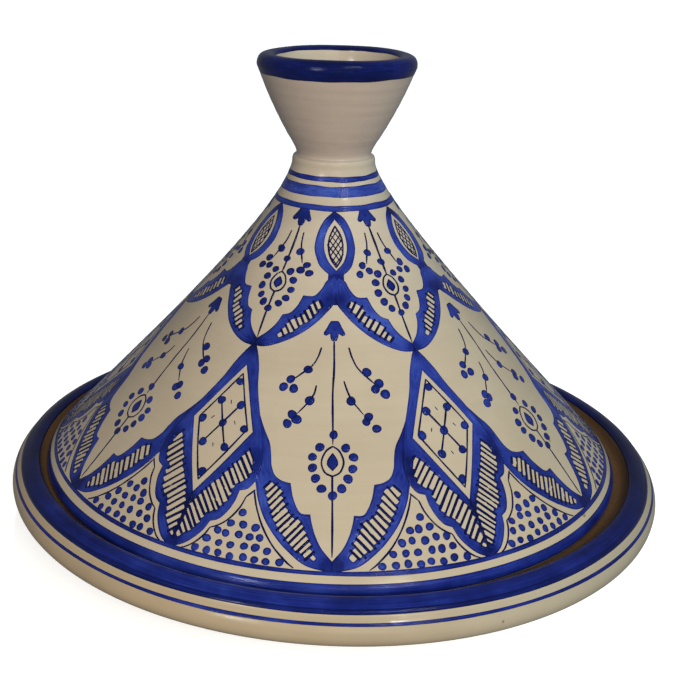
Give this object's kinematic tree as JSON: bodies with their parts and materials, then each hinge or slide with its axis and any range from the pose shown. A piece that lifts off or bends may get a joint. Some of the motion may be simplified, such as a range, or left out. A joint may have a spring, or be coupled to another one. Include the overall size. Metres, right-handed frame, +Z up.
{
  "type": "tagine pot",
  "caption": "Glazed clay serving tagine: shallow footed dish with a rounded rim and a tall conical lid with a cup-shaped knob, painted in blue on cream.",
  "frame": {"origin": "centre of the foot ring, on the surface that the dish stands on", "axes": "+Z up along the pot's axis; -Y is the side with a painted panel facing front"},
  "size_m": [0.3, 0.3, 0.2188],
  "materials": {
    "cream_glaze": "glossy tin glaze, warm cream",
    "knob_glaze": "thinner, greyer cream glaze",
    "blue_paint": "cobalt blue brushwork fired with the glaze",
    "bare_clay": "unglazed fired clay"
  },
  "bodies": {
    "dish": {"dish": "cream_glaze"},
    "lid": {"lid_cone": "cream_glaze", "lid_knob": "knob_glaze"}
  },
  "joints": [
    {"name": "lid_lift", "type": "slide", "parent": "dish", "child": "lid", "axis": [0, 0, 1], "range_m": [0, 0.15]}
  ]
}
